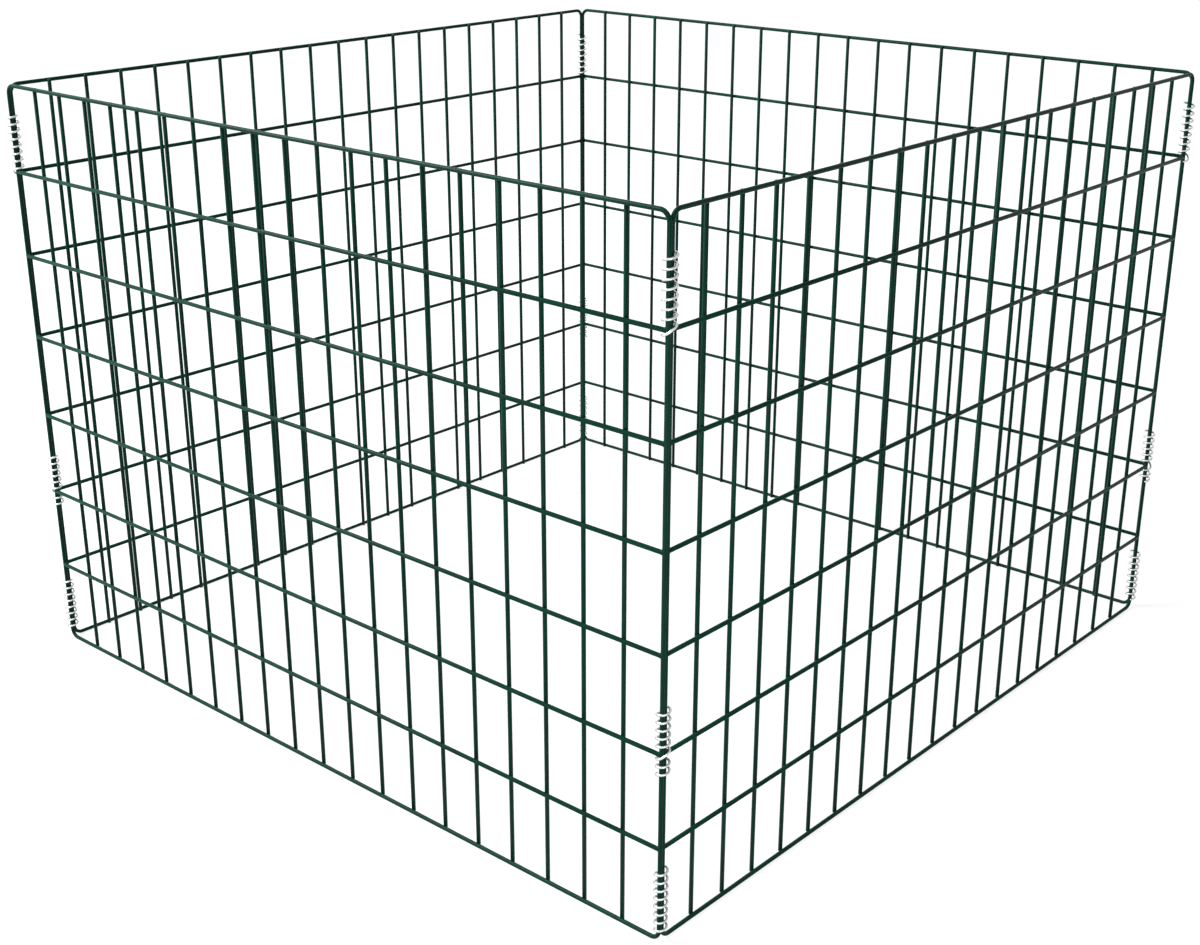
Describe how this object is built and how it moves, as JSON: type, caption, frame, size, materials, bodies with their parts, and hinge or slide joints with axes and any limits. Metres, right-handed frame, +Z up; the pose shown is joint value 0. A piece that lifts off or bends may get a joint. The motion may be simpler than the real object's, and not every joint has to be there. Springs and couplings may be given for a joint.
{
  "type": "compost bin",
  "caption": "Square garden compost bin of flat green-coated welded wire panels, open above and below, laced at the corners by wound wire spirals that let it fold.",
  "frame": {"origin": "on the ground, at the middle of the bin's plan", "axes": "+Z up, +X across the width towards the right-hand panel, +Y from the front panel to the back panel; the corner nearest the camera in the picture is at +X, -Y"},
  "size_m": [0.9968, 0.999, 0.7042],
  "materials": {
    "green_coated_wire": "satin dark green plastic coat on steel wire",
    "galvanised_spring_wire": "bright galvanised"
  },
  "bodies": {
    "front_side": {"front_panel": "green_coated_wire", "front_cross_wire_1": "green_coated_wire", "front_cross_wire_2": "green_coated_wire", "front_cross_wire_3": "green_coated_wire", "front_cross_wire_4": "green_coated_wire", "front_cross_wire_5": "green_coated_wire", "front_cross_wire_6": "green_coated_wire", "front_right_spiral_bottom": "galvanised_spring_wire", "front_right_spiral_middle": "galvanised_spring_wire", "front_right_spiral_top": "galvanised_spring_wire", "front_left_spiral_bottom": "galvanised_spring_wire", "front_left_spiral_middle": "galvanised_spring_wire", "front_left_spiral_top": "galvanised_spring_wire"},
    "right_side": {"right_panel": "green_coated_wire", "right_cross_wire_1": "green_coated_wire", "right_cross_wire_2": "green_coated_wire", "right_cross_wire_3": "green_coated_wire", "right_cross_wire_4": "green_coated_wire", "right_cross_wire_5": "green_coated_wire", "right_cross_wire_6": "green_coated_wire"},
    "back_side": {"back_panel": "green_coated_wire", "back_cross_wire_1": "green_coated_wire", "back_cross_wire_2": "green_coated_wire", "back_cross_wire_3": "green_coated_wire", "back_cross_wire_4": "green_coated_wire", "back_cross_wire_5": "green_coated_wire", "back_cross_wire_6": "green_coated_wire", "back_right_spiral_bottom": "galvanised_spring_wire", "back_right_spiral_middle": "galvanised_spring_wire", "back_right_spiral_top": "galvanised_spring_wire", "back_left_spiral_bottom": "galvanised_spring_wire", "back_left_spiral_middle": "galvanised_spring_wire", "back_left_spiral_top": "galvanised_spring_wire"},
    "left_side": {"left_panel": "green_coated_wire", "left_cross_wire_1": "green_coated_wire", "left_cross_wire_2": "green_coated_wire", "left_cross_wire_3": "green_coated_wire", "left_cross_wire_4": "green_coated_wire", "left_cross_wire_5": "green_coated_wire", "left_cross_wire_6": "green_coated_wire"}
  },
  "joints": [
    {"name": "fold", "type": "hinge", "parent": "front_side", "child": "right_side", "pos_m": [0.49078, -0.48971, 0], "axis": [0, 0, 1], "range_deg": [-80, 80]},
    {"name": "right_back_fold", "type": "hinge", "parent": "right_side", "child": "back_side", "pos_m": [0.49078, 0.49029, 0], "axis": [0, 0, 1], "range_deg": [-80, 80]},
    {"name": "front_left_fold", "type": "hinge", "parent": "front_side", "child": "left_side", "pos_m": [-0.49078, -0.49029, 0], "axis": [0, 0, 1], "range_deg": [-80, 80]}
  ],
  "couplings": [
    {"joint": "right_back_fold", "follows": "fold", "ratio": -1},
    {"joint": "front_left_fold", "follows": "fold", "ratio": 1}
  ]
}
